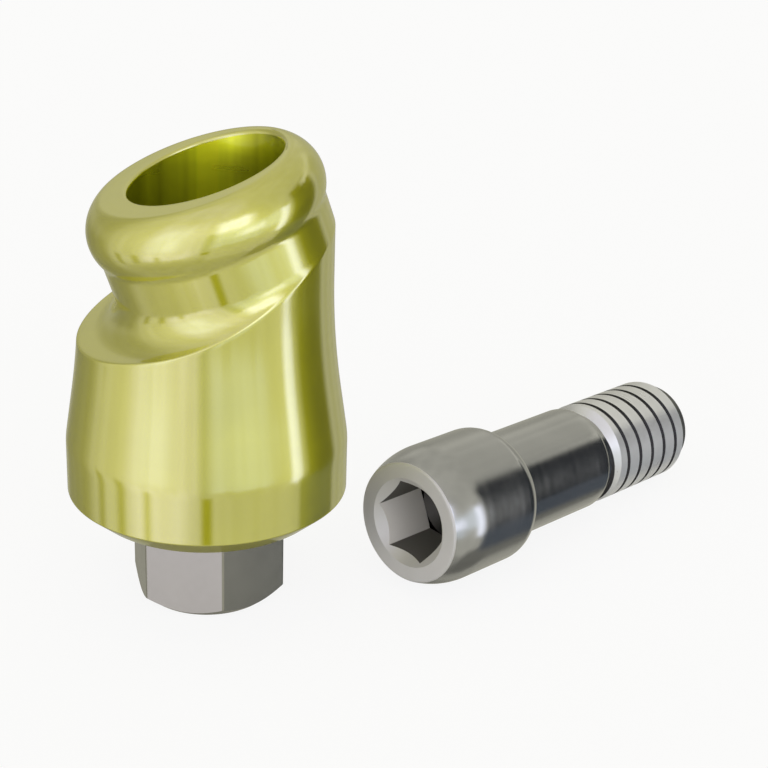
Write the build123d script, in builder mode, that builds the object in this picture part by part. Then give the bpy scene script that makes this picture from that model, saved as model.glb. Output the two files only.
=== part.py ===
from build123d import *
import math
import os

# An angled dental abutment with its fixation screw, in millimetres. The abutment stands on the end of
# its hexagon with the implant axis along Z and the origin where that axis leaves the hexagon. Its head
# leans towards -X, square to one flat of the hexagon. The screw is taken out and lies on the same
# surface beside it, head towards the abutment.

# Hexagon that locks the abutment in the implant
hex_across_flats = 2.50
hex_length = 1.75
hex_lead_in_height = 0.23
hex_lead_in_angle = 39.0

# Turned body above the hexagon
seat_radius = 2.08
seat_chamfer_height = 0.35
rim_radius = 2.49
rim_edge_round = 0.04
skirt_height = 0.98
body_taper_angle = 8.5
wall_radius = 2.20
skirt_round = 1.50
wall_round = 14.0

# Head and shoulder, turned about an axis that leans from the implant axis
lean_angle = 18.5
head_centre_height = 5.20
toroid_tube_radius = 0.715
crown_height = 0.635
crown_land = 0.104
neck_undercut = 0.10
neck_fillet = 0.55
shoulder_depth = 1.545
mouth_edge_break = 0.06

# Channel for the screw, with a rounded seat for the underside of its head
head_channel_clearance = 0.05
shank_channel_clearance = 0.06
screw_seat_height = 2.45

# Screw, measured along its own axis from its face
screw_head_diameter = 2.60
screw_face_diameter = 2.24
nose_length = 0.77
barrel_end = 1.94
head_underside_round = 0.45
shank_diameter = 2.04
shank_end = 4.81
shank_end_round = 0.12
relief_diameter = 1.72
relief_end = 5.02
thread_diameter = 2.00
thread_end = 7.36
thread_end_chamfer = 0.08
tip_diameter = 1.72
tip_end = 7.61
tip_chamfer = 0.04

# Driver socket in the screw's face
socket_across_flats = 1.35
socket_depth = 1.20
socket_mouth_diameter = 1.68
socket_mouth_angle = 45.0
socket_drill_angle = 118.0
socket_turn = 6.5

# Place of the loose screw: how far the middle of its face stands out from the abutment's rim along X,
# its place along Y, and the way its axis points seen from above
screw_stand_off = 0.98
screw_face_y = -1.05
screw_heading = 32.0

# Worked out from the sizes above
lean = math.radians(lean_angle)
taper = math.radians(body_taper_angle)
rim_height = hex_length + seat_chamfer_height
skirt_top = rim_height + skirt_height
taper_top = skirt_top + (rim_radius - wall_radius) / math.tan(taper)
head_centre = Vector(0, 0, rim_height + head_centre_height)
head_axis = Axis(head_centre, (-math.sin(lean), 0, math.cos(lean)))
head_radius = screw_head_diameter / 2
channel_radius = head_radius + head_channel_clearance / 2
shank_radius = shank_diameter / 2
shank_channel_radius = shank_radius + shank_channel_clearance / 2
thread_radius = thread_diameter / 2

# The upright channel runs out through the leaning crown. Its farthest edge there and the land beyond
# it give the crown its radius, and the crown gives the toroid and the neck theirs.
mouth_reach = crown_height * math.tan(lean) + channel_radius / math.cos(lean)
crown_radius = mouth_reach + crown_land
toroid_ring_radius = crown_radius - math.sqrt(toroid_tube_radius**2 - crown_height**2)
neck_radius = toroid_ring_radius + toroid_tube_radius - neck_undercut
crease_depth = math.sqrt(toroid_tube_radius**2 - (toroid_tube_radius - neck_undercut) ** 2)
beyond_the_head = head_centre.Z + 2 * neck_radius


def underside_foot(barrel_radius, reached_radius):
    """How far the rounded underside of a head runs before it reaches a smaller radius."""
    round_centre = barrel_radius - head_underside_round
    return math.sqrt(head_underside_round**2 - (reached_radius - round_centre) ** 2)


# Abutment body: one piece, turned straight, turned again about the leaning axis, then milled
with BuildPart() as abutment_body:
    # the turned blank above the seat
    with BuildSketch(Plane.XZ) as blank_section:
        with BuildLine():
            Polyline(
                (0, hex_length),
                (seat_radius, hex_length),
                (rim_radius, rim_height),
                (rim_radius, skirt_top),
                (wall_radius, taper_top),
                (wall_radius, beyond_the_head),
                (0, beyond_the_head),
                close=True,
            )
        make_face()
        # the rounds at the two ends of the taper share its length
        longest_round = (rim_radius - wall_radius) / math.sin(taper) / math.tan(taper / 2)
        for corner, corner_round in (
            ((rim_radius, rim_height), rim_edge_round),
            ((rim_radius, skirt_top), min(skirt_round, longest_round / 3)),
            ((wall_radius, taper_top), min(wall_round, longest_round * 3 / 5)),
        ):
            corner_at = Vector(corner[0], corner[1], 0)
            fillet(blank_section.vertices().sort_by_distance(corner_at)[0], corner_round)
    revolve(axis=Axis.Z)

    # the head: what stands inside this leaning turned form is kept, and the shoulder is cut square to it
    head_section_plane = Plane(head_centre, x_dir=(math.cos(lean), 0, math.sin(lean)), z_dir=(0, -1, 0))
    with BuildSketch(head_section_plane) as head_section:
        with BuildLine():
            Line((0, crown_height), (crown_radius, crown_height))
            ThreePointArc(
                (crown_radius, crown_height),
                (toroid_ring_radius + toroid_tube_radius, 0),
                (neck_radius, -crease_depth),
            )
            Polyline(
                (neck_radius, -crease_depth),
                (neck_radius, -shoulder_depth),
                (beyond_the_head, -shoulder_depth),
                (beyond_the_head, -2 * beyond_the_head),
                (0, -2 * beyond_the_head),
                (0, crown_height),
            )
        make_face()
        neck_foot = head_section.vertices().sort_by_distance(Vector(neck_radius, -shoulder_depth, 0))[0]
        fillet(neck_foot, neck_fillet)
    revolve(axis=head_axis, mode=Mode.INTERSECT)

    # the hexagon under the seat, with a conical lead-in at its end
    with BuildSketch():
        RegularPolygon(hex_across_flats / 2, side_count=6, major_radius=False, rotation=30)
    extrude(amount=hex_length)
    hex_corner_radius = hex_across_flats / 2 / math.cos(math.pi / 6)
    lead_in_slope = math.tan(math.radians(hex_lead_in_angle))
    lead_in_foot = hex_corner_radius - hex_lead_in_height / lead_in_slope
    with BuildSketch(Plane.XZ):
        with BuildLine():
            Polyline(
                (lead_in_foot, 0),
                (seat_radius, 0),
                (seat_radius, (seat_radius - lead_in_foot) * lead_in_slope),
                close=True,
            )
        make_face()
    revolve(axis=Axis.Z, mode=Mode.SUBTRACT)

    # the screw channel along the implant axis
    seat_drop = underside_foot(channel_radius, shank_channel_radius)
    seat_round_centre = (channel_radius - head_underside_round, screw_seat_height)
    seat_turn = math.degrees(math.asin(seat_drop / head_underside_round))
    with BuildSketch(Plane.XZ):
        with BuildLine():
            Polyline(
                (0, 0),
                (shank_channel_radius, 0),
                (shank_channel_radius, screw_seat_height - seat_drop),
            )
            CenterArc(seat_round_centre, head_underside_round, -seat_turn, seat_turn)
            Polyline(
                (channel_radius, screw_seat_height),
                (channel_radius, beyond_the_head),
                (0, beyond_the_head),
                (0, 0),
            )
        make_face()
    revolve(axis=Axis.Z, mode=Mode.SUBTRACT)

    # the broken edge round the channel's mouth
    crown_face = abutment_body.faces().filter_by(GeomType.PLANE).sort_by(head_axis)[-1]
    chamfer(crown_face.edges().sort_by(SortBy.LENGTH)[0], mouth_edge_break)

abutment_body.part.label = "abutment_body"

# The screw rests on the round of its head's underside and on the crest at the end of its thread, so
# its axis dips towards the tip
resting_crest = thread_end - thread_end_chamfer
rest_length = resting_crest - barrel_end
rest_drop = head_radius - head_underside_round - thread_radius
dip = math.atan2(rest_drop, rest_length)
dip += math.asin(head_underside_round / math.hypot(rest_length, rest_drop))
screw_face_height = resting_crest * math.sin(dip) + thread_radius * math.cos(dip)
heading = math.radians(screw_heading)
screw_plane = Plane(
    (rim_radius + screw_stand_off, screw_face_y, screw_face_height),
    x_dir=(math.sin(heading), -math.cos(heading), 0),
    z_dir=(math.cos(dip) * math.cos(heading), math.cos(dip) * math.sin(heading), -math.sin(dip)),
)
screw_axis = Axis(screw_plane.origin, screw_plane.z_dir)
screw_section_plane = Plane(screw_plane.origin, x_dir=screw_plane.x_dir, z_dir=-screw_plane.y_dir)

# Fixation screw: one turned piece, its threaded end at the thread's outer diameter
with BuildPart() as fixation_screw:
    underside_end = barrel_end + underside_foot(head_radius, shank_radius)
    underside_turn = math.degrees(math.asin((underside_end - barrel_end) / head_underside_round))
    face_radius = screw_face_diameter / 2
    relief_radius = relief_diameter / 2
    tip_radius = tip_diameter / 2
    with BuildSketch(screw_section_plane) as screw_section:
        with BuildLine():
            Line((0, 0), (face_radius, 0))
            TangentArc((head_radius, nose_length), (face_radius, 0), tangent=(0, -1))
            Line((head_radius, nose_length), (head_radius, barrel_end))
            CenterArc(
                (head_radius - head_underside_round, barrel_end), head_underside_round, 0, underside_turn
            )
            Polyline(
                (shank_radius, underside_end),
                (shank_radius, shank_end),
                (relief_radius, shank_end),
                (relief_radius, relief_end),
                (thread_radius, relief_end + thread_radius - relief_radius),
                (thread_radius, thread_end - thread_end_chamfer),
                (thread_radius - thread_end_chamfer, thread_end),
                (tip_radius, thread_end),
                (tip_radius, tip_end - tip_chamfer),
                (tip_radius - tip_chamfer, tip_end),
                (0, tip_end),
                (0, 0),
            )
        make_face()
        shank_corner = screw_section.vertices().sort_by_distance(Vector(shank_radius, shank_end, 0))[0]
        fillet(shank_corner, shank_end_round)
    revolve(axis=screw_axis)

    # the driver socket: hexagon, drilled bottom and conical mouth
    with BuildSketch(screw_plane):
        RegularPolygon(socket_across_flats / 2, side_count=6, major_radius=False, rotation=socket_turn)
    extrude(amount=socket_depth, mode=Mode.SUBTRACT)
    socket_apothem = socket_across_flats / 2
    mouth_radius = socket_mouth_diameter / 2
    mouth_depth = mouth_radius / math.tan(math.radians(socket_mouth_angle))
    drill_point = socket_apothem / math.tan(math.radians(socket_drill_angle / 2))
    with BuildSketch(screw_section_plane):
        with BuildLine():
            Polyline((0, 0), (mouth_radius, 0), (0, mouth_depth), close=True)
        make_face()
        with BuildLine():
            Polyline(
                (0, 0),
                (socket_apothem, 0),
                (socket_apothem, socket_depth),
                (0, socket_depth + drill_point),
                close=True,
            )
        make_face()
    revolve(axis=screw_axis, mode=Mode.SUBTRACT)

fixation_screw.part.label = "fixation_screw"

os.makedirs("parts", exist_ok=True)
export_step(abutment_body.part, "parts/abutment_body.step")
export_step(fixation_screw.part, "parts/fixation_screw.step")
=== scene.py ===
import math

import bmesh
import bpy
import numpy as np
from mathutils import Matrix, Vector


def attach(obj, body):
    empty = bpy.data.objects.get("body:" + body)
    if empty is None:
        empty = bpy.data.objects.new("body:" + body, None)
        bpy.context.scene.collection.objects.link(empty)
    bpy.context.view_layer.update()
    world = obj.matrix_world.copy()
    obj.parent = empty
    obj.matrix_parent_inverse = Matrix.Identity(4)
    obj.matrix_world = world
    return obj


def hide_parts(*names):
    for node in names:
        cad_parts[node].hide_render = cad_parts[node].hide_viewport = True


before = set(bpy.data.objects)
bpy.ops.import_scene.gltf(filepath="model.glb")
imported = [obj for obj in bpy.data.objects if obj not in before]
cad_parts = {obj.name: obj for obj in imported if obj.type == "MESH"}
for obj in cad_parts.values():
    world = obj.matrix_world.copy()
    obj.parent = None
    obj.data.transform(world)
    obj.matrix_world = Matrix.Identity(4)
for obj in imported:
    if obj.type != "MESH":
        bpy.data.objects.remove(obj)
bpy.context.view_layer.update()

# Sizes in millimetres, in the frame of the CAD model: the implant axis is Z, the head leans towards -X
MM = 0.001

hex_across_flats = 2.50
hex_length = 1.75
hex_lead_in_height = 0.23
hex_lead_in_angle = math.radians(39.0)
hex_edge_round = 0.05

seat_radius = 2.08
seat_edge_round = 0.02
seat_chamfer_height = 0.35
rim_radius = 2.49
rim_edge_round = 0.04
skirt_height = 0.98
body_taper = math.radians(8.5)
wall_radius = 2.20
skirt_round = 1.50
wall_round = 14.0

lean = math.radians(18.5)
head_centre_height = 5.20
toroid_tube_radius = 0.715
crown_height = 0.635
crown_land = 0.104
crown_edge_round = 0.07
neck_undercut = 0.10
crease_round = 0.08
neck_fillet = 0.55
shoulder_depth = 1.545
shoulder_edge_round = 0.03
mouth_edge_break = 0.06

channel_radius = 1.325
shank_channel_radius = 1.05
screw_seat_height = 2.45
channel_edge_break = 0.03

screw_head_radius = 1.30
screw_face_radius = 1.12
face_edge_round = 0.03
nose_length = 0.77
barrel_end = 1.94
head_underside_round = 0.45
shank_radius = 1.02
shank_end = 4.81
shank_end_round = 0.12
relief_radius = 0.86
relief_end = 5.02
thread_radius = 1.00
thread_pitch = 0.40
thread_end = 7.36
thread_end_chamfer = 0.08
groove_mouth_width = 0.10
groove_root_width = 0.05
groove_depth = 0.12
tip_radius = 0.86
tip_end = 7.61
tip_chamfer = 0.04

socket_apothem = 0.675
socket_depth = 1.20
socket_mouth_radius = 0.84
socket_edge_round = 0.02
socket_drill_angle = math.radians(118.0)
socket_corner_turn = math.radians(6.5)

screw_stand_off = 0.98
screw_face_y = -1.05
screw_heading = math.radians(32.0)

# Worked out from the sizes above
rim_height = hex_length + seat_chamfer_height
skirt_top = rim_height + skirt_height
taper_top = skirt_top + (rim_radius - wall_radius) / math.tan(body_taper)
head_centre = np.array([0.0, 0.0, rim_height + head_centre_height])
head_up = np.array([-math.sin(lean), 0.0, math.cos(lean)])
head_across = np.array([math.cos(lean), 0.0, math.sin(lean)])
head_side = np.array([0.0, 1.0, 0.0])
crown_radius = crown_height * math.tan(lean) + channel_radius / math.cos(lean) + crown_land
ring_radius = crown_radius - math.sqrt(toroid_tube_radius**2 - crown_height**2)
neck_radius = ring_radius + toroid_tube_radius - neck_undercut
fillet_run = neck_fillet * math.pi / 2
crease_angle = -math.acos((toroid_tube_radius - neck_undercut) / toroid_tube_radius)
crown_angle = math.asin(crown_height / toroid_tube_radius)
crown_middle = head_centre + head_up * crown_height
hex_apothem = hex_across_flats / 2
hex_first_corner = math.pi / 6
screw_face_x = rim_radius + screw_stand_off

# How fine the meshes are: columns all round, closer ones at a hexagon's corners, rows on the long
# stretches, how small the fans at the screw's two ends start, and when an edge is sharp or points are one
column_count = 360
hex_corner_reach = math.radians(1.2)
hex_corner_columns = 13
socket_corner_reach = math.radians(1.5)
socket_corner_columns = 9
arc_points = 25
wall_rows = 61
shoulder_rows = 45
toroid_rows = 41
bore_rows = 9
crest_row_shares = (0.12, 0.6, 1.0, 1.4, 1.88)
halvings = 50
tip_fan_radius = 0.05
drill_fan_share = 0.06
sharp_turn = math.radians(14.0)
same_angle = 1e-6
same_place = 2e-6
no_length = 1e-6

# The photograph's camera, round the abutment's axis at twice the rim's height, aimed a little to the right
camera_azimuth = math.radians(-10.0)
camera_elevation = math.radians(23.101)
camera_distance = 33.759
camera_pan = math.radians(5.278)
camera_tilt = math.radians(-0.358)
camera_roll = math.radians(-0.368)
camera_lens = 89.76
camera_sensor = 36.0
camera_sees_to = 2000.0


# Camera

def make_camera():
    """The camera that the photograph was taken with: where it stands, and the way it looks."""
    flat = math.cos(camera_elevation)
    back = Vector((
        math.sin(camera_azimuth) * flat,
        -math.cos(camera_azimuth) * flat,
        math.sin(camera_elevation),
    ))
    forward = -back
    right = forward.cross(Vector((0, 0, 1))).normalized()
    up = right.cross(forward)
    panned = forward * math.cos(camera_pan) + right * math.sin(camera_pan)
    right = right * math.cos(camera_pan) - forward * math.sin(camera_pan)
    tilted = panned * math.cos(camera_tilt) + up * math.sin(camera_tilt)
    up = up * math.cos(camera_tilt) - panned * math.sin(camera_tilt)
    rolled = right * math.cos(camera_roll) + up * math.sin(camera_roll)
    up = up * math.cos(camera_roll) - right * math.sin(camera_roll)
    data = bpy.data.cameras.new("camera")
    data.lens = camera_lens
    data.sensor_width = camera_sensor
    data.clip_start = MM
    data.clip_end = camera_sees_to * MM
    camera = bpy.data.objects.new("camera", data)
    bpy.context.scene.collection.objects.link(camera)
    turn = camera.matrix_world.to_3x3()
    turn.col[0], turn.col[1], turn.col[2] = rolled, up, -tilted
    camera.matrix_world = turn.to_4x4()
    camera.location = (Vector((0, 0, 2 * rim_height)) + back * camera_distance) * MM
    bpy.context.scene.camera = camera


# Mesh helpers

def spread(start, end, count):
    """Even steps from start to end, both included."""
    return np.linspace(start, end, count)


def blend_rows(first, corner, last, count):
    """Rows that round off a corner: from first to last, drawn towards the corner between them."""
    rows = []
    for f in spread(0, 1, count):
        rows.append((1 - f) ** 2 * first + 2 * f * (1 - f) * corner + f**2 * last)
    return rows


def straight_rows(first, last, count):
    """Rows evenly between two rows, both included."""
    return [first + (last - first) * f for f in spread(0, 1, count)]


def rounded_outline(points, rounds, steps):
    """The points of an outline whose inner corners are turned into tangent arcs of the given radii."""
    outline = [np.array(points[0], float)]
    for before, corner, after, radius in zip(points, points[1:], points[2:], rounds):
        before, corner, after = (np.array(p, float) for p in (before, corner, after))
        inward = (before - corner) / np.linalg.norm(before - corner)
        outward = (after - corner) / np.linalg.norm(after - corner)
        half = math.acos(np.clip(inward @ outward, -1, 1)) / 2
        bisector = (inward + outward) / np.linalg.norm(inward + outward)
        centre = corner + bisector * radius / math.sin(half)
        start = corner + inward * radius / math.tan(half) - centre
        end = corner + outward * radius / math.tan(half) - centre
        turn = math.acos(np.clip(start @ end / radius**2, -1, 1))
        for f in spread(0, 1, steps):
            share = np.array([math.sin((1 - f) * turn), math.sin(f * turn)]) / math.sin(turn)
            outline.append(centre + start * share[0] + end * share[1])
    outline.append(np.array(points[-1], float))
    return np.array(outline)


def hexagon_radius(angle, apothem, corner_round, first_corner):
    """How far a hexagon with rounded corners reaches from its centre, at each angle."""
    sixth = math.pi / 3
    from_corner = (angle - first_corner + sixth / 2) % sixth - sixth / 2
    flat = apothem / np.cos(sixth / 2 - np.abs(from_corner))
    arc_centre = (apothem - corner_round) / math.cos(sixth / 2)
    inside = np.maximum(corner_round**2 - (arc_centre * np.sin(from_corner)) ** 2, 0)
    arc = arc_centre * np.cos(from_corner) + np.sqrt(inside)
    arc_end_across = corner_round * math.sin(sixth / 2)
    arc_end_out = arc_centre + corner_round * math.cos(sixth / 2)
    arc_end = math.atan2(arc_end_across, arc_end_out)
    return np.where(np.abs(from_corner) < arc_end, arc, flat)


def column_angles(first_corner, count, corner_reach, corner_count):
    """Angles of the columns: an even set, and a closer one round each of six corners."""
    even = first_corner + np.arange(count) * 2 * math.pi / count
    close = [
        first_corner + corner * math.pi / 3 + offset
        for corner in range(6)
        for offset in spread(-corner_reach, corner_reach, corner_count)
        if abs(offset) > same_angle
    ]
    angles = np.sort(np.concatenate([even, close]) % (2 * math.pi))
    far_enough = np.append(True, np.diff(angles) > same_angle)
    return angles[far_enough]


class Rings:
    """A grid of rings in millimetres, one after the other, that becomes a closed mesh."""

    def __init__(self, columns):
        self.columns = columns
        self.rings = []
        self.sharp = []
        self.material = []

    def add(self, rows, material, sharp_first=False, sharp_last=False, skip_first=True):
        """Adds rows. The first is skipped where it is the last of the rows before."""
        rows = list(rows)
        if skip_first and self.rings:
            self.sharp[-1] = self.sharp[-1] or sharp_first
            rows = rows[1:]
        for row in rows:
            self.rings.append(row)
            self.sharp.append(False)
            self.material.append(material)
        self.sharp[-1] = sharp_last

    def faces(self):
        """Quads between neighbouring rings, the last and the first too, with each one's material."""
        ring_count, columns = len(self.rings), self.columns
        for ring in range(ring_count):
            following = (ring + 1) % ring_count
            for column in range(columns):
                beside = (column + 1) % columns
                yield (
                    ring * columns + column,
                    ring * columns + beside,
                    following * columns + beside,
                    following * columns + column,
                ), self.material[following]


def sharpen(mesh, ring_lines, columns):
    """Marks the edges that run along the given rings as sharp."""
    sharp_rings = {ring for ring, sharp in enumerate(ring_lines) if sharp}
    for edge in mesh.edges:
        first, second = (v // columns for v in edge.vertices)
        if first == second and first in sharp_rings:
            edge.use_edge_sharp = True


def make_object(name, mesh, materials):
    """A shown object with its materials, smooth but for its sharp edges."""
    for material in materials:
        mesh.materials.append(material)
    mesh.shade_smooth()
    piece = bpy.data.objects.new(name, mesh)
    bpy.context.scene.collection.objects.link(piece)
    return piece


# Abutment body

def wall_outline():
    """Radius against height for the turned wall, from its seat to above the head."""
    return rounded_outline(
        [
            (seat_radius, hex_length),
            (rim_radius, rim_height),
            (rim_radius, skirt_top),
            (wall_radius, taper_top),
            (wall_radius, 2 * taper_top),
        ],
        [rim_edge_round, skirt_round, wall_round],
        arc_points,
    )


def in_head_frame(points):
    """Distance from the leaning axis, height along it from the toroid's centre, and angle about it."""
    from_centre = points - head_centre
    across, side, up = from_centre @ head_across, from_centre @ head_side, from_centre @ head_up
    return np.hypot(across, side), up, np.arctan2(side, across)


def from_head_frame(distance, up, angle):
    """The points at a distance from the leaning axis, a height along it and an angle about it."""
    across, side = distance * np.cos(angle), distance * np.sin(angle)
    return head_centre + np.outer(across, head_across) + np.outer(side, head_side) + np.outer(up, head_up)


def shoulder_top(distance):
    """Height of the shoulder and its fillet along the leaning axis, at a distance from it."""
    into_fillet = np.clip(neck_radius + neck_fillet - distance, 0, neck_fillet)
    return -shoulder_depth + neck_fillet - np.sqrt(neck_fillet**2 - into_fillet**2)


def shoulder_point(run):
    """Distance and height at a run along shoulder, fillet and neck, from where the fillet starts."""
    turn = np.clip(run / neck_fillet, 0, math.pi / 2)
    distance = neck_radius + neck_fillet - neck_fillet * np.sin(turn) - np.minimum(run, 0)
    up = -shoulder_depth + neck_fillet * (1 - np.cos(turn)) + np.maximum(run - fillet_run, 0)
    return distance, up


def shoulder_run(distance, up):
    """The run at which a point of the shoulder, the fillet or the neck lies."""
    on_neck = up >= neck_fillet - shoulder_depth
    sine = np.clip((neck_radius + neck_fillet - distance) / neck_fillet, 0, 1)
    in_fillet = neck_fillet * np.arcsin(sine) - np.maximum(distance - neck_radius - neck_fillet, 0)
    return np.where(on_neck, fillet_run + up - neck_fillet + shoulder_depth, in_fillet)


def wall_top(angle, radius_at):
    """Height at which the turned wall runs out at the shoulder or the neck, for each angle."""
    low, high = np.full_like(angle, skirt_top), np.full_like(angle, head_centre[2])
    for _ in range(halvings):
        middle = (low + high) / 2
        radius = radius_at(middle)
        points = np.stack([radius * np.cos(angle), radius * np.sin(angle), middle], 1)
        distance, up, _around = in_head_frame(points)
        inside = np.where(distance < neck_radius, up < 0, up < shoulder_top(distance))
        low, high = np.where(inside, middle, low), np.where(inside, high, middle)
    return low


# The order of the body's materials, as make_gold_materials gives them
gold, bare, bore, head = range(4)


class BodyRings(Rings):
    """The rings of the whole body, from the channel's lower end out, up and back down the channel."""

    def __init__(self):
        self.angle = column_angles(hex_first_corner, column_count, hex_corner_reach, hex_corner_columns)
        super().__init__(len(self.angle))
        self.outline = wall_outline()
        self.top = wall_top(self.angle, self.wall_at)
        self.top_edge = self.ring(self.wall_at(self.top), self.top)
        self.top_distance, self.top_up, self.around = in_head_frame(self.top_edge)

    def wall_at(self, height):
        """The turned wall's radius at a height."""
        return np.interp(height, self.outline[:, 1], self.outline[:, 0])

    def ring(self, radius, height):
        """A ring about the implant axis."""
        across, side = radius * np.cos(self.angle), radius * np.sin(self.angle)
        return np.stack([across, side, height + 0 * self.angle], 1)

    def head_ring(self, radius, height):
        """A ring about the leaning axis."""
        return from_head_frame(radius + 0 * self.around, height + 0 * self.around, self.around)

    def toroid_ring(self, tube_angle):
        """A ring of the toroid, by its angle round the tube."""
        radius = ring_radius + toroid_tube_radius * math.cos(tube_angle)
        return self.head_ring(radius, toroid_tube_radius * math.sin(tube_angle))

    def crown_ring(self, radius):
        """A ring about the implant axis that lies in the leaning crown."""
        ring = self.ring(radius, 0)
        ring[:, 2] = crown_middle[2] - (ring - crown_middle)[:, 0] * head_up[0] / head_up[2]
        return ring

    def add_hexagon(self):
        """The hexagon's end, its lead-in and its flats, and the seat."""
        hexagon = hexagon_radius(self.angle, hex_apothem, hex_edge_round, hex_first_corner)
        slope = math.tan(hex_lead_in_angle)
        lead_in_foot = hex_apothem / math.cos(math.pi / 6) - hex_lead_in_height / slope
        end_inner = self.ring(shank_channel_radius + channel_edge_break, 0)
        end_outer = self.ring(lead_in_foot, 0)
        lead_in_end = self.ring(hexagon, (hexagon - lead_in_foot) * slope)
        flats_end = self.ring(hexagon, hex_length)
        seat_end = self.ring(seat_radius - seat_edge_round, hex_length)
        self.add([self.ring(shank_channel_radius, channel_edge_break), end_inner], bare)
        self.add(straight_rows(end_inner, end_outer, 3), bare, sharp_first=True, sharp_last=True)
        self.add(straight_rows(end_outer, lead_in_end, 5), bare, sharp_last=True)
        self.add(straight_rows(lead_in_end, flats_end, 4), bare, sharp_last=True)
        self.add(straight_rows(flats_end, seat_end, 5), bare)

    def add_wall(self):
        """The turned wall, from the seat's edge to where the leaning head cuts it."""
        low = hex_length + seat_edge_round
        chamfer_start = self.ring(self.wall_at(low), low)
        seat_corner = self.ring(seat_radius, hex_length)
        self.add(blend_rows(self.rings[-1], seat_corner, chamfer_start, 4), gold)
        rim_end = rim_height + 3 * seat_edge_round
        rim = [(radius, height) for radius, height in self.outline if low < height < rim_end]
        self.add([chamfer_start] + [self.ring(*point) for point in rim], gold)
        _radius, rim_top = rim[-1]
        wall_end = self.top - shoulder_edge_round
        for f in spread(0, 1, wall_rows)[1:]:
            height = rim_top + (wall_end - rim_top) * f
            self.add([self.ring(self.wall_at(height), height)], gold, skip_first=False)

    def add_shoulder(self):
        """The edge between the wall and the leaning head, and the head's shoulder, fillet and neck."""
        start_run = shoulder_run(self.top_distance, self.top_up) + shoulder_edge_round
        head_start = from_head_frame(*shoulder_point(start_run), self.around)
        self.add(blend_rows(self.rings[-1], self.top_edge, head_start, 5), head)
        crease_up = toroid_tube_radius * math.sin(crease_angle)
        end_run = fillet_run + crease_up - crease_round + shoulder_depth - neck_fillet
        for f in spread(0, 1, shoulder_rows)[1:]:
            run = start_run + (end_run - start_run) * f
            self.add([from_head_frame(*shoulder_point(run), self.around)], head, skip_first=False)

    def add_toroid(self):
        """The crease under the toroid, the toroid, and the edge of the crown."""
        first_angle = crease_angle + crease_round / toroid_tube_radius
        last_angle = crown_angle - crown_edge_round / toroid_tube_radius
        first, last = self.toroid_ring(first_angle), self.toroid_ring(last_angle)
        self.add(blend_rows(self.rings[-1], self.toroid_ring(crease_angle), first, 7), head)
        self.add([self.toroid_ring(angle) for angle in spread(first_angle, last_angle, toroid_rows)], head)
        crown_corner = self.head_ring(crown_radius, crown_height)
        crown_start = self.head_ring(crown_radius - crown_edge_round, crown_height)
        self.add(blend_rows(last, crown_corner, crown_start, 6), head)

    def add_channel(self):
        """The crown, and the channel from its mouth down past the screw's seat."""
        mouth_start = self.crown_ring(channel_radius + mouth_edge_break)
        mouth_corner = self.crown_ring(channel_radius)
        bore_start = mouth_corner - np.array([0, 0, mouth_edge_break])
        bore_end = self.ring(channel_radius, screw_seat_height)
        self.add(straight_rows(self.rings[-1], mouth_start, 6), head)
        self.add(blend_rows(mouth_start, mouth_corner, bore_start, 5), head)
        self.add(straight_rows(bore_start, bore_end, bore_rows), bore)
        round_centre = channel_radius - head_underside_round
        seat_turn = math.acos((shank_channel_radius - round_centre) / head_underside_round)
        for turn in spread(0, seat_turn, 10)[1:]:
            radius = round_centre + head_underside_round * math.cos(turn)
            height = screw_seat_height - head_underside_round * math.sin(turn)
            self.add([self.ring(radius, height)], bare, skip_first=False)
        self.sharp[-1] = True
        channel_end = self.ring(shank_channel_radius, channel_edge_break)
        # the last row is the first of all, where the loop of rings closes
        self.add(straight_rows(self.rings[-1], channel_end, 7)[:-1], bare)


def make_body(materials):
    """The abutment as one closed mesh in place of its solid."""
    rings = BodyRings()
    rings.add_hexagon()
    rings.add_wall()
    rings.add_shoulder()
    rings.add_toroid()
    rings.add_channel()
    faces, kinds = zip(*rings.faces())
    mesh = bpy.data.meshes.new("abutment")
    mesh.from_pydata((np.concatenate(rings.rings) * MM).tolist(), [], faces)
    mesh.polygons.foreach_set("material_index", kinds)
    sharpen(mesh, rings.sharp, rings.columns)
    body = make_object("abutment", mesh, materials)
    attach(body, "root")
    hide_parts("abutment_body")


# Screw

# The order of the screw's materials, as make_screw_materials gives them
polished, satin, crest, groove, broached, tip = range(6)


def screw_axes():
    """The middle of the lying screw's face, the way its axis points, and two directions across it."""
    resting_crest = thread_end - thread_end_chamfer
    rest_length = resting_crest - barrel_end
    rest_drop = screw_head_radius - head_underside_round - thread_radius
    dip = math.atan2(rest_drop, rest_length)
    dip += math.asin(head_underside_round / math.hypot(rest_length, rest_drop))
    height = resting_crest * math.sin(dip) + thread_radius * math.cos(dip)
    face = np.array([screw_face_x, screw_face_y, height])
    flat = math.cos(dip)
    along = np.array([flat * math.cos(screw_heading), flat * math.sin(screw_heading), -math.sin(dip)])
    across = np.array([math.sin(screw_heading), -math.cos(screw_heading), 0.0])
    return face, along, across, np.cross(along, across)


def thread_outer(run):
    """Outer radius of the threaded end, without its groove, at a run along the axis."""
    cone_end = relief_end + thread_radius - relief_radius
    runs = [relief_end, cone_end, thread_end - thread_end_chamfer, thread_end]
    radii = [relief_radius, thread_radius, thread_radius, thread_radius - thread_end_chamfer]
    return np.interp(run, runs, radii)


# Where the rows across a groove lie, from its middle
groove_offsets = [
    -groove_mouth_width / 2, -groove_root_width / 2, 0.0, groove_root_width / 2, groove_mouth_width / 2
]


def groove_floor(phase):
    """Radius left by the thread's groove, at a distance along the axis from its middle."""
    offset = np.abs((phase + thread_pitch / 2) % thread_pitch - thread_pitch / 2)
    offsets = [0, groove_root_width / 2, groove_mouth_width / 2, thread_pitch]
    depths = [groove_depth, groove_depth, 0, 0]
    return thread_radius - np.interp(offset, offsets, depths)


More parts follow.
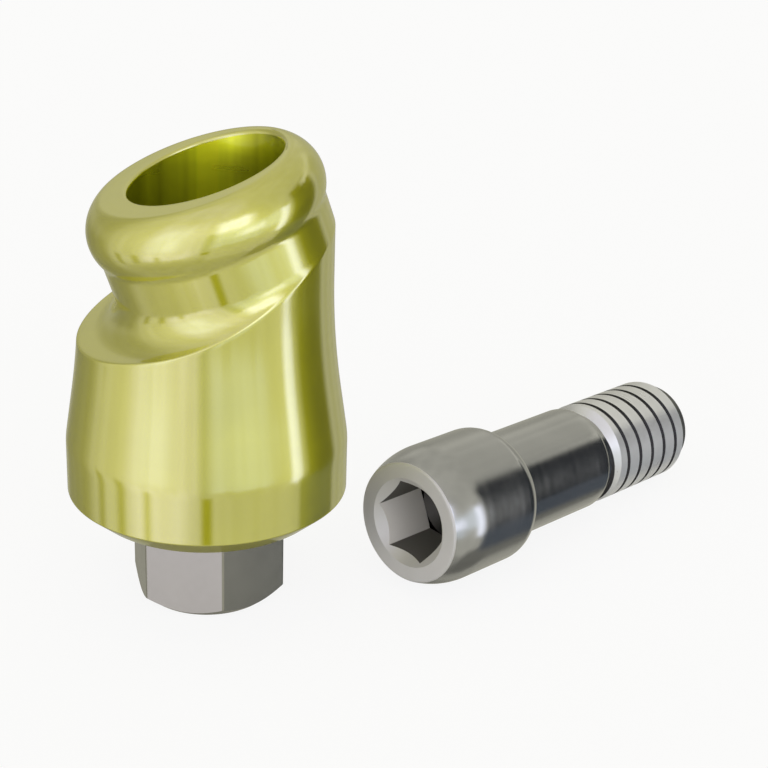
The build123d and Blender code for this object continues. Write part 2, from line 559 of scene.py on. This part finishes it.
def thread_rows():
    """Runs of the rows along the helix, how many make a pitch, and where the groove's middle starts."""
    crest_half = (thread_pitch - groove_mouth_width) / 2
    crest_offsets = [groove_mouth_width / 2 + crest_half * f for f in crest_row_shares]
    offsets = groove_offsets + crest_offsets
    groove_start = relief_end - 2 * thread_pitch
    turns = math.ceil((thread_end - groove_start) / thread_pitch) + 2
    rows = [groove_start + turn * thread_pitch + offset for turn in range(turns) for offset in offsets]
    return np.array(rows), len(offsets), groove_start


class ScrewMesh:
    """Collects the screw's vertices and faces; coinciding vertices are merged at the end."""

    def __init__(self, angle):
        self.angle = angle
        self.face, self.along, self.across, self.over = screw_axes()
        self.bm = bmesh.new()
        self.finish = polished

    def place(self, radius, run, angle):
        offset = radius * (math.cos(angle) * self.across + math.sin(angle) * self.over)
        return Vector((self.face + run * self.along + offset) * MM)

    def ring(self, radius, run):
        radius = radius + 0 * self.angle
        run = run + 0 * self.angle
        return [self.bm.verts.new(self.place(r, s, a)) for r, s, a in zip(radius, run, self.angle)]

    def add_face(self, *corners):
        self.bm.faces.new(corners).material_index = self.finish

    def band(self, first, second):
        """Quads between two rings."""
        for i in range(len(first)):
            j = (i + 1) % len(first)
            self.add_face(first[i], first[j], second[j], second[i])

    def stretch(self, outline):
        """Bands along an outline of (radius, run), and its rings."""
        rings = [self.ring(radius, run) for radius, run in outline]
        for first, second in zip(rings, rings[1:]):
            self.band(first, second)
        return rings

    def cap(self, ring, run):
        """A fan from a ring to a point on the axis."""
        middle = self.bm.verts.new(Vector((self.face + run * self.along) * MM))
        for i in range(len(ring)):
            self.add_face(ring[i], ring[(i + 1) % len(ring)], middle)


def screw_outlines():
    """The outlines of the screw's outside, each as (radius, run) from its face to its relief."""
    nose_radius = ((screw_head_radius - screw_face_radius) ** 2 + nose_length**2) / 2
    nose_radius /= screw_head_radius - screw_face_radius
    nose_turn = math.asin(nose_length / nose_radius)
    nose = [
        (
            screw_head_radius - nose_radius * (1 - math.cos(turn)),
            nose_length - nose_radius * math.sin(turn),
        )
        for turn in spread(nose_turn, 0, 16)
    ]
    round_centre = screw_head_radius - head_underside_round
    under_turn = math.acos((shank_radius - round_centre) / head_underside_round)
    underside = [
        (
            round_centre + head_underside_round * math.cos(turn),
            barrel_end + head_underside_round * math.sin(turn),
        )
        for turn in spread(0, under_turn, 14)
    ]
    return nose, underside


def make_socket(screw):
    """The driver's socket, from its drilled point out to the face, and the face round it."""
    socket = hexagon_radius(screw.angle, socket_apothem, socket_edge_round, socket_corner_turn)
    drill_point = socket_apothem / math.tan(socket_drill_angle / 2)
    mouth_run = socket_mouth_radius - socket
    screw.finish = broached
    shares = spread(drill_fan_share, 1, 12)
    drilled = screw.stretch([(socket_apothem * f, socket_depth + drill_point * (1 - f)) for f in shares])
    screw.cap(drilled[0], socket_depth + drill_point)
    screw.stretch([(socket_apothem, socket_depth), (socket, socket_depth)])
    screw.stretch([(socket, socket_depth + (mouth_run - socket_depth) * f) for f in spread(0, 1, 9)])
    screw.finish = satin
    screw.stretch([
        (socket + (socket_mouth_radius - socket) * f, mouth_run * (1 - f)) for f in spread(0, 1, 5)
    ])
    screw.stretch([(r, 0) for r in spread(socket_mouth_radius, screw_face_radius - face_edge_round, 5)])


def make_head_and_shank(screw):
    """The outside, from the face's edge to the relief."""
    nose, underside = screw_outlines()
    face_edge = np.array([screw_face_radius - face_edge_round, 0])
    runs, radii = [p[1] for p in nose], [p[0] for p in nose]
    nose_start = np.array([np.interp(face_edge_round, runs, radii), face_edge_round])
    screw.stretch(blend_rows(face_edge, np.array([screw_face_radius, 0.0]), nose_start, 5))
    screw.finish = polished
    screw.stretch([tuple(nose_start)] + [p for p in nose if p[1] > face_edge_round])
    screw.stretch([(screw_head_radius, s) for s in spread(nose_length, barrel_end, 7)])
    screw.stretch(underside)
    shank = rounded_outline(
        [(shank_radius, underside[-1][1]), (shank_radius, shank_end), (relief_radius, shank_end)],
        [shank_end_round],
        8,
    )
    screw.stretch([(shank_radius, s) for s in spread(shank[0][1], shank[1][1], 10)])
    screw.stretch(shank[1:])
    screw.stretch([(relief_radius, s) for s in spread(shank_end, relief_end, 4)])


def make_thread(screw):
    """The threaded end in three stretches, each cut off square, so that they join ring to ring."""
    rows, per_pitch, groove_start = thread_rows()
    groove_rows = len(groove_offsets) - 1
    cone_end = relief_end + thread_radius - relief_radius
    chamfer_start = thread_end - thread_end_chamfer
    advance = thread_pitch * screw.angle / (2 * math.pi)
    for low, high in ((relief_end, cone_end), (cone_end, chamfer_start), (chamfer_start, thread_end)):
        columns = []
        for angle, ahead in zip(screw.angle, advance):
            run = np.clip(rows + ahead, low, high)
            radius = np.minimum(thread_outer(run), groove_floor(run - groove_start - ahead))
            columns.append([screw.bm.verts.new(screw.place(r, s, angle)) for r, s in zip(radius, run)])
        # past the last column the helix has gone one pitch further
        columns.append(columns[0][per_pitch:])
        for column, beside in zip(columns, columns[1:]):
            for k in range(min(len(column), len(beside)) - 1):
                screw.finish = groove if k % per_pitch < groove_rows else crest
                screw.add_face(column[k], beside[k], beside[k + 1], column[k + 1])


def make_tip(screw):
    """The thread's end face and the plain tip beyond it."""
    _rows, _per_pitch, groove_start = thread_rows()
    advance = thread_pitch * screw.angle / (2 * math.pi)
    end_radius = np.minimum(thread_outer(thread_end), groove_floor(thread_end - groove_start - advance))
    screw.finish = tip
    screw.stretch([(end_radius, thread_end), (tip_radius, thread_end)])
    screw.stretch([(tip_radius, s) for s in spread(thread_end, tip_end - tip_chamfer, 4)])
    screw.stretch([(tip_radius, tip_end - tip_chamfer), (tip_radius - tip_chamfer, tip_end)])
    disc = screw.stretch([(r, tip_end) for r in spread(tip_radius - tip_chamfer, tip_fan_radius, 6)])
    screw.cap(disc[-1], tip_end)


def make_screw(materials):
    """The screw as one closed mesh in place of its solid."""
    angle = column_angles(socket_corner_turn, column_count, socket_corner_reach, socket_corner_columns)
    screw = ScrewMesh(angle)
    make_socket(screw)
    make_head_and_shank(screw)
    make_thread(screw)
    make_tip(screw)
    bmesh.ops.remove_doubles(screw.bm, verts=screw.bm.verts, dist=same_place * MM)
    bmesh.ops.dissolve_degenerate(screw.bm, edges=screw.bm.edges, dist=no_length * MM)
    bmesh.ops.recalc_face_normals(screw.bm, faces=screw.bm.faces)
    for edge in screw.bm.edges:
        edge.smooth = edge.calc_face_angle(0) < sharp_turn
    mesh = bpy.data.meshes.new("screw")
    screw.bm.to_mesh(mesh)
    screw.bm.free()
    piece = make_object("screw", mesh, materials)
    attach(piece, "root")
    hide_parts("fixation_screw")
    # in the photograph the gold doesn't mirror the screw
    piece.visible_glossy = False


# Nodes

class Nodes:
    """Adds nodes to a tree; a socket that is given a node's output is linked, and set otherwise."""

    def __init__(self, tree):
        self.tree = tree

    def add(self, kind, inputs=None, **settings):
        node = self.tree.nodes.new(kind)
        for name, value in settings.items():
            setattr(node, name, value)
        for name, value in (inputs or {}).items():
            if isinstance(value, bpy.types.NodeSocket):
                self.tree.links.new(value, node.inputs[name])
            else:
                node.inputs[name].default_value = value
        return node

    def math(self, operation, *values):
        inputs = dict(enumerate(values))
        return self.add("ShaderNodeMath", inputs, operation=operation).outputs[0]

    def mix(self, share, first, second):
        """A colour between two, by the share of the second; the node's colour sockets have numbers."""
        inputs = {"Factor": share, 6: first, 7: second}
        return self.add("ShaderNodeMix", inputs, data_type="RGBA").outputs[2]

    def smooth_step(self, value, low, high, at_low=0.0, at_high=1.0):
        inputs = {"Value": value, "From Min": low, "From Max": high, "To Min": at_low, "To Max": at_high}
        return self.add("ShaderNodeMapRange", inputs, interpolation_type="SMOOTHSTEP").outputs[0]

    def vector(self, operation, *values, **settings):
        """A vector operation; its result is a number where the operation gives one."""
        inputs = dict(enumerate(values)) | settings
        outputs = self.add("ShaderNodeVectorMath", inputs, operation=operation).outputs
        return outputs["Value" if operation in ("DOT_PRODUCT", "LENGTH") else "Vector"]

    def noise(self, vector, scale, detail=2.0):
        inputs = {"Vector": vector, "Scale": scale, "Detail": detail}
        return self.add("ShaderNodeTexNoise", inputs).outputs[0]

    def link(self, output, socket):
        self.tree.links.new(output, socket)


# Studio: a pale floor, and all round it soft light with brighter and darker panels. A panel's place is the
# way to it from the object: azimuth from +X towards +Y, and elevation from the horizon, both in degrees

bright_white = (0.97, 0.985, 1.1)
cool_white = (0.97, 1.0, 1.05)
rose_white = (1.0, 0.965, 1.0)
warm_white = (1.0, 0.98, 0.8)
green_white = (0.94, 1.0, 0.96)
blue_grey = (0.86, 1.0, 1.12)


def tinted(tint, level):
    """A panel's colour, from its tint and how bright it is."""
    return tuple(level * part for part in tint) + (1.0,)


class Panel:
    """A soft-edged patch of the studio's surroundings: its two spans, how soft each is, and its light."""

    def __init__(self, azimuth, elevation, softness, tint, level):
        self.azimuth, self.elevation, self.softness = azimuth, elevation, softness
        self.colour = tinted(tint, level)

    def share(self, nodes, azimuth, elevation):
        """How much of the panel is in each direction, from 0 to 1."""
        shares = []
        spans = (self.azimuth, self.elevation)
        for angle, (low, high), soft in zip((azimuth, elevation), spans, self.softness):
            off_middle = nodes.math("SUBTRACT", angle, (low + high) / 2)
            off_middle = nodes.math("WRAP", off_middle, 180.0, -180.0)
            off_middle = nodes.math("ABSOLUTE", off_middle)
            half = (high - low) / 2
            shares.append(nodes.smooth_step(off_middle, half - soft / 2, half + soft / 2, 1.0, 0.0))
        return nodes.math("MULTIPLY", *shares)


# Left and right are the camera's; a later panel covers the ones before it
surroundings = tinted(warm_white, 0.68)
panels = [
    # the ground, and the light overhead
    Panel((-180, 180), (-120, -38), (1, 20), warm_white, 0.45),
    Panel((-190, -80), (35, 80), (50, 30), rose_white, 0.85),
    Panel((-60, 100), (32, 80), (30, 20), warm_white, 0.62),
    # dimmer behind the object, on the left and on the right
    Panel((100, 152), (-75, 0), (24, 24), warm_white, 0.27),
    Panel((100, 152), (0, 40), (24, 24), warm_white, 0.36),
    Panel((30, 60), (-34, 22), (10, 10), warm_white, 0.5),
    Panel((58, 100), (-65, 16), (10, 14), warm_white, 0.46),
    Panel((60, 125), (-80, -42), (20, 12), warm_white, 0.25),
    # the large soft light on the left
    Panel((-200, -112), (-32, 52), (32, 22), warm_white, 0.8),
    Panel((-168, -108), (-30, 46), (14, 12), rose_white, 1.03),
    Panel((-165, -122), (-32, -18), (14, 8), rose_white, 1.28),
    Panel((-160, -128), (-14, 36), (20, 20), bright_white, 1.42),
    # the light on the right, brighter higher up, and a bright strip at its end
    Panel((-98, -18), (-46, -17), (10, 5), warm_white, 0.66),
    Panel((-98, -48), (-17, -6), (14, 5), green_white, 0.92),
    Panel((-98, -44), (-6, 14), (14, 8), green_white, 1.08),
    Panel((-100, -64), (14, 38), (20, 14), bright_white, 2.2),
    Panel((-74, -46), (-4, 8), (14, 8), cool_white, 1.7),
    Panel((-46, -28), (-8, 16), (8, 10), green_white, 1.05),
    Panel((-30, -20), (-22, 16), (7, 6), cool_white, 2.1),
    # the dark part at the far right, paler below and above
    Panel((-15, 22), (-46, 32), (11, 10), blue_grey, 0.03),
    Panel((-20, 20), (-48, -21), (8, 6), blue_grey, 0.11),
    Panel((-36, 22), (-90, -40), (10, 8), warm_white, 0.22),
    Panel((6, 50), (24, 31), (10, 6), warm_white, 0.9),
    # narrow shades, which show as streaks on the wall and the skirt
    Panel((-106, -99), (-24, 14), (10, 8), green_white, 0.45),
    Panel((-105, -97), (-30, -24), (6, 4), green_white, 0.05),
    Panel((161, 168), (-36, -18), (7, 6), warm_white, 0.25),
    Panel((-178, -171), (-36, -18), (8, 6), warm_white, 0.3),
    Panel((-153, -147), (-36, -22), (8, 6), warm_white, 0.5),
]
# Upright streaks in the light, and how far the panels' upper and lower edges waver, in degrees
streak_scale = 7.0
streak_flatness = 0.1
streak_range = (0.88, 1.08)
ragged_scale = 9.0
ragged_reach = 8.0


def make_world():
    """Soft light all round with the panels in it; the camera itself sees plain white."""
    world = bpy.data.worlds.new("studio")
    bpy.context.scene.world = world
    world.use_nodes = True
    world.node_tree.nodes.clear()
    nodes = Nodes(world.node_tree)
    way = nodes.add("ShaderNodeTexCoord").outputs["Generated"]
    parts = nodes.add("ShaderNodeSeparateXYZ", {"Vector": way}).outputs
    azimuth = nodes.math("DEGREES", nodes.math("ARCTAN2", parts["Y"], parts["X"]))
    elevation = nodes.math("DEGREES", nodes.math("ARCSINE", parts["Z"]))
    upright = nodes.vector("MULTIPLY", way, (1, 1, streak_flatness))
    ragged = nodes.math("SUBTRACT", nodes.noise(upright, ragged_scale), 0.5)
    elevation = nodes.math("MULTIPLY_ADD", ragged, ragged_reach, elevation)
    colour = surroundings
    for panel in panels:
        colour = nodes.mix(panel.share(nodes, azimuth, elevation), colour, panel.colour)
    streak = nodes.noise(upright, streak_scale)
    streak = nodes.smooth_step(streak, noise_low, noise_high, *streak_range)
    colour = nodes.vector("SCALE", colour, Scale=streak)
    camera_ray = nodes.add("ShaderNodeLightPath").outputs["Is Camera Ray"]
    seen = nodes.mix(camera_ray, colour, (1, 1, 1, 1))
    background = nodes.add("ShaderNodeBackground", {"Color": seen, "Strength": 1.0}).outputs[0]
    nodes.add("ShaderNodeOutputWorld", {"Surface": background})


floor_half_width = 500.0
floor_colour = (0.95, 0.95, 0.95, 1)
floor_glow = 0.88


def make_floor():
    """A pale floor that keeps the object's shadow; the metal mirrors the studio in its place."""
    mesh = bpy.data.meshes.new("floor")
    reach = floor_half_width * MM
    corners = [(-reach, -reach, 0), (reach, -reach, 0), (reach, reach, 0), (-reach, reach, 0)]
    mesh.from_pydata(corners, [], [(0, 1, 2, 3)])
    floor = bpy.data.objects.new("floor", mesh)
    bpy.context.scene.collection.objects.link(floor)
    material = bpy.data.materials.new("floor")
    material.use_nodes = True
    material.node_tree.nodes.clear()
    nodes = Nodes(material.node_tree)
    path = nodes.add("ShaderNodeLightPath").outputs
    diffuse = nodes.add("ShaderNodeBsdfDiffuse", {"Color": floor_colour}).outputs[0]
    glow = nodes.add("ShaderNodeEmission", {"Color": (1, 1, 1, 1), "Strength": 1.0}).outputs[0]
    glow_share = nodes.math("MULTIPLY", path["Is Camera Ray"], floor_glow)
    pale = nodes.add("ShaderNodeMixShader", {0: glow_share, 1: diffuse, 2: glow}).outputs[0]
    clear = nodes.add("ShaderNodeBsdfTransparent").outputs[0]
    surface = nodes.add("ShaderNodeMixShader", {0: path["Is Glossy Ray"], 1: pale, 2: clear}).outputs[0]
    nodes.add("ShaderNodeOutputMaterial", {"Surface": surface})
    mesh.materials.append(material)


# Materials

class Finish:
    """How a metal surface looks, how strong its detail is, and the light and shade painted into its
    colour; lengths are in millimetres.
    """

    metallic = 0.8
    roughness = 0.38
    coat = 1.0
    coat_roughness = 0.07
    coat_ior = 3.0
    cloud_size = 1.2            # soft patches, a little darker or duller than the rest
    cloud_shade = 0.03
    cloud_gloss = 0.10
    wave_size = 0.8             # a surface polished by hand isn't quite even
    wave_depth = 0.002
    mark_spacing = 0.14         # rings left by the turning tool
    mark_depth = 0.0006
    mark_gloss = 0.05
    speck_size = 0.13           # fine spots of another gloss
    speck_gloss = 0.04
    lengthwise_painted_bands = 0.0            # painted reflection: bands of lighter and darker colour along the axis, like the bands of reflected light in a polished bore
    painted_light_side = None           # painted light and shade in a hollow: faces square to this direction are painted lighter and the others darker, by the share on the next line
    painted_light_share = 0.6

    def __init__(self, **changes):
        for name, value in changes.items():
            setattr(self, name, value)


def metal(name, colour, finish, axis_point, axis):
    """Metal turned about an axis: its colour, gloss and relief vary as its finish says, and some finishes
    paint light and shade into the colour.
    """
    material = bpy.data.materials.new(name)
    material.use_nodes = True
    shader = material.node_tree.nodes["Principled BSDF"]
    nodes = Nodes(material.node_tree)
    place = nodes.add("ShaderNodeTexCoord").outputs["Object"]
    place = nodes.vector("SCALE", place, Scale=1 / MM)
    from_axis = nodes.vector("SUBTRACT", place, tuple(axis_point))
    along = nodes.vector("DOT_PRODUCT", from_axis, tuple(axis))
    outward = nodes.vector("CROSS_PRODUCT", from_axis, tuple(axis))
    path = nodes.math("ADD", along, nodes.vector("LENGTH", outward))
    mark_inputs = {"W": path, "Scale": 1 / finish.mark_spacing, "Detail": 0.0}
    marks = nodes.add("ShaderNodeTexNoise", mark_inputs, noise_dimensions="1D").outputs[0]
    cloud = nodes.noise(place, 1 / finish.cloud_size)
    wave = nodes.noise(place, 1 / finish.wave_size, 0.0)
    speck = nodes.noise(place, 1 / finish.speck_size, 0.0)

    tone_and_painted_light = nodes.smooth_step(cloud, noise_low, noise_high, 1 - finish.cloud_shade, 1 + finish.cloud_shade)
    # painted reflection: bands of lighter and darker colour round the axis, standing for reflected light
    # in a bore
    if finish.lengthwise_painted_bands:
        around = nodes.vector("NORMALIZE", outward)
        share = finish.lengthwise_painted_bands
        painted_reflection_bands = nodes.noise(around, painted_band_scale)
        painted_reflection_bands = nodes.smooth_step(painted_reflection_bands, noise_low, noise_high, 1 - share, 1 + share)
        tone_and_painted_light = nodes.math("MULTIPLY", tone_and_painted_light, painted_reflection_bands)
    # painted light and shade: faces whose normals lie along the light side are painted lighter, the others
    # darker
    if finish.painted_light_side:
        facing = nodes.add("ShaderNodeNewGeometry").outputs["Normal"]
        facing = nodes.vector("DOT_PRODUCT", facing, finish.painted_light_side)
        share = finish.painted_light_share
        side = nodes.smooth_step(nodes.math("MULTIPLY", facing, facing), 0, 1, 1 - share, 1 + share)
        tone_and_painted_light = nodes.math("MULTIPLY", tone_and_painted_light, side)
    nodes.link(nodes.vector("SCALE", colour, Scale=tone_and_painted_light), shader.inputs["Base Color"])

    gloss = finish.roughness
    for detail, strength in (
        (cloud, finish.cloud_gloss),
        (marks, finish.mark_gloss),
        (speck, finish.speck_gloss),
    ):
        gloss = nodes.math("MULTIPLY_ADD", nodes.math("SUBTRACT", detail, 0.5), strength, gloss)
    nodes.link(gloss, shader.inputs["Roughness"])

    normal = {}
    for height, depth in ((wave, finish.wave_depth), (marks, finish.mark_depth)):
        if depth:
            inputs = {"Height": height, "Distance": depth * MM} | normal
            normal = {"Normal": nodes.add("ShaderNodeBump", inputs).outputs[0]}
    if normal:
        nodes.link(normal["Normal"], shader.inputs["Normal"])
    shader.inputs["Metallic"].default_value = finish.metallic
    shader.inputs["Specular IOR Level"].default_value = 0.0
    shader.inputs["Coat Weight"].default_value = finish.coat
    shader.inputs["Coat Roughness"].default_value = finish.coat_roughness
    shader.inputs["Coat IOR"].default_value = finish.coat_ior
    return material


# Noise seldom leaves this range
noise_low = 0.3
noise_high = 0.7

# How often the painted reflection bands change round the bore, and the turn of the faces painted lighter
# in the bore and the socket
painted_band_scale = 3.0
bore_painted_light_turn = math.radians(86.0)
socket_painted_light_turn = math.radians(156.5)

gold_colour = (0.61, 0.585, 0.008)
bore_colour = (0.54, 0.56, 0.02)
bare_colour = (0.41, 0.40, 0.38)
screw_colour = (0.465, 0.468, 0.50)
satin_colour = (0.61, 0.60, 0.60)
crest_colour = (0.77, 0.775, 0.81)
# painted shade: the thread's groove is coloured near black for the shade that falls in it
painted_groove_shade = (0.05, 0.05, 0.055)
socket_colour = (0.38, 0.365, 0.345)
tip_colour = (0.14, 0.14, 0.14)


def make_gold_materials():
    """The coated wall and head, each turned about its own axis, the bore with painted reflection bands and
    painted light and shade, and the bare hexagon.
    """
    upright, origin = (0, 0, 1), (0, 0, 0)
    coated = Finish()
    milled = Finish(metallic=1.0, roughness=0.22, coat=0.0, wave_depth=0.0004)
    milled.mark_gloss = milled.mark_depth = 0.0
    # the bore's colour holds painted reflection bands and painted light and shade
    bore_finish_with_painted_light = Finish(roughness=0.3, coat=0.5, coat_ior=1.6, lengthwise_painted_bands=0.24)
    bore_finish_with_painted_light.speck_gloss = bore_finish_with_painted_light.wave_depth = bore_finish_with_painted_light.mark_depth = 0.0
    # painted light and shade in the bore: faces square to this direction are painted lighter, the others
    # darker
    bore_finish_with_painted_light.painted_light_side = (math.cos(bore_painted_light_turn), math.sin(bore_painted_light_turn), 0.0)
    return [
        metal("gold_wall", gold_colour, coated, origin, upright),
        metal("bare_titanium", bare_colour, milled, origin, upright),
        metal("gold_bore", bore_colour, bore_finish_with_painted_light, origin, upright),
        metal("gold_head", gold_colour, coated, head_centre, head_up),
    ]


def make_screw_materials():
    """The screw's polished outside, satin face, thread crests, groove with painted shade, driver socket
    with painted light and shade, and tip.
    """
    face, along, across, over = screw_axes()
    bright = Finish(metallic=0.98, roughness=0.18, coat=0.0, wave_depth=0.001, mark_depth=0.0004)
    dull = Finish(metallic=0.4, roughness=0.42, coat=0.0, mark_depth=0.0008)
    cut = Finish(metallic=0.6, roughness=0.3, coat=0.0, mark_spacing=0.08, mark_depth=0.0003)
    socket_finish_with_painted_light = Finish(metallic=0.1, roughness=0.35, coat=0.0, mark_depth=0.0003, painted_light_share=1.0)
    # painted light and shade in the socket: the flats square to this direction are painted lighter, the
    # others darker
    painted_light_side = across * math.cos(socket_painted_light_turn) + over * math.sin(socket_painted_light_turn)
    socket_finish_with_painted_light.painted_light_side = tuple(painted_light_side)
    return [
        metal("screw_polished", screw_colour, bright, face, along),
        metal("screw_satin", satin_colour, dull, face, along),
        metal("screw_crest", crest_colour, cut, face, along),
        metal("screw_groove", painted_groove_shade, cut, face, along),
        metal("screw_socket", socket_colour, socket_finish_with_painted_light, face, along),
        metal("screw_tip", tip_colour, cut, face, along),
    ]


make_camera()
make_floor()
make_world()
make_body(make_gold_materials())
make_screw(make_screw_materials())
bpy.context.scene.view_settings.view_transform = "Standard"
